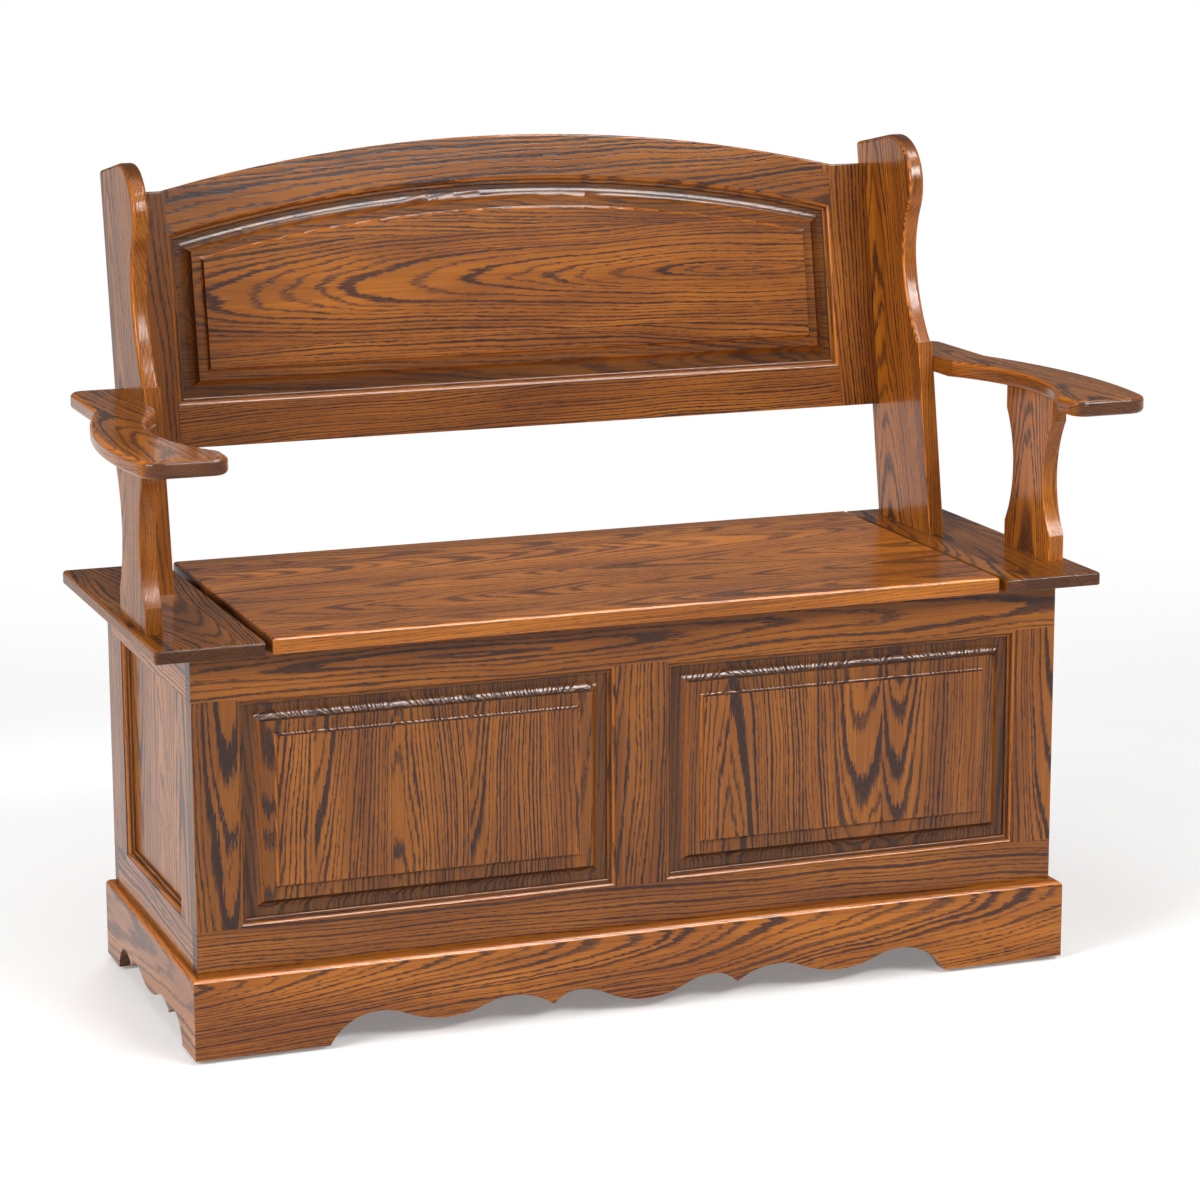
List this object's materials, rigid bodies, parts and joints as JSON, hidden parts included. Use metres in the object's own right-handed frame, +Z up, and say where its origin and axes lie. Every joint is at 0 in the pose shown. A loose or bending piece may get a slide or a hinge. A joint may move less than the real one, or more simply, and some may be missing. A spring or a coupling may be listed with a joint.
{
  "type": "settle bench",
  "caption": "Settle bench with a panelled chest base on a scalloped plinth, hinged seat lid, arched raised-panel back between scrolled posts, and curved flat arms.",
  "frame": {"origin": "on the floor, under the middle of the bench's outer box", "axes": "+Z up; +X along the bench, to the right for someone looking at its front; the front faces -Y"},
  "size_m": [1.223, 0.583, 0.9815],
  "materials": {
    "oak": "stained oak, semi-gloss lacquer",
    "oak_inside": "unstained, unfinished",
    "brass": "dull, used",
    "steel": "zinc plated",
    "glide": "matte"
  },
  "bodies": {
    "bench": {"front_top_rail": "oak", "front_bottom_rail": "oak", "front_stile_left": "oak", "front_stile_centre": "oak", "front_stile_right": "oak", "front_panel_left": "oak", "front_panel_right": "oak", "left_side_top_rail": "oak", "left_side_bottom_rail": "oak", "left_side_front_stile": "oak", "left_side_back_stile": "oak", "left_side_panel": "oak", "right_side_top_rail": "oak", "right_side_bottom_rail": "oak", "right_side_front_stile": "oak", "right_side_back_stile": "oak", "right_side_panel": "oak", "rear_top_rail": "oak", "rear_bottom_rail": "oak", "rear_stile_left": "oak", "rear_stile_right": "oak", "rear_panel": "oak", "skirt_front": "oak", "skirt_back": "oak", "skirt_left": "oak", "skirt_right": "oak", "seat_end_left": "oak", "seat_end_right": "oak", "post_left": "oak", "post_right": "oak", "back_stile_left": "oak", "back_stile_right": "oak", "back_bottom_rail": "oak", "back_top_rail": "oak", "back_panel": "oak", "arm_left": "oak", "arm_right": "oak", "arm_support_left": "oak", "arm_support_right": "oak", "chest_floor": "oak_inside", "plinth_ledgers_long": "oak_inside", "plinth_ledgers_short": "oak_inside", "corner_blocks": "oak_inside", "seat_cleat_left": "oak_inside", "seat_cleat_right": "oak_inside", "dowels": "oak_inside", "hinge_chest_leaf_left": "brass", "hinge_pin_left": "brass", "hinge_chest_leaf_right": "brass", "hinge_pin_right": "brass", "hinge_screws_chest": "brass", "post_screws": "steel", "seat_end_screws": "steel", "floor_glides": "glide"},
    "lid": {"lid": "oak", "hinge_lid_leaf_left": "brass", "hinge_lid_leaf_right": "brass", "hinge_screws_lid": "brass"}
  },
  "joints": [
    {"name": "lid_hinge", "type": "hinge", "parent": "bench", "child": "lid", "pos_m": [0, 0.20599, 0.4638], "axis": [-1, 0, 0], "range_deg": [0, 82]}
  ]
}
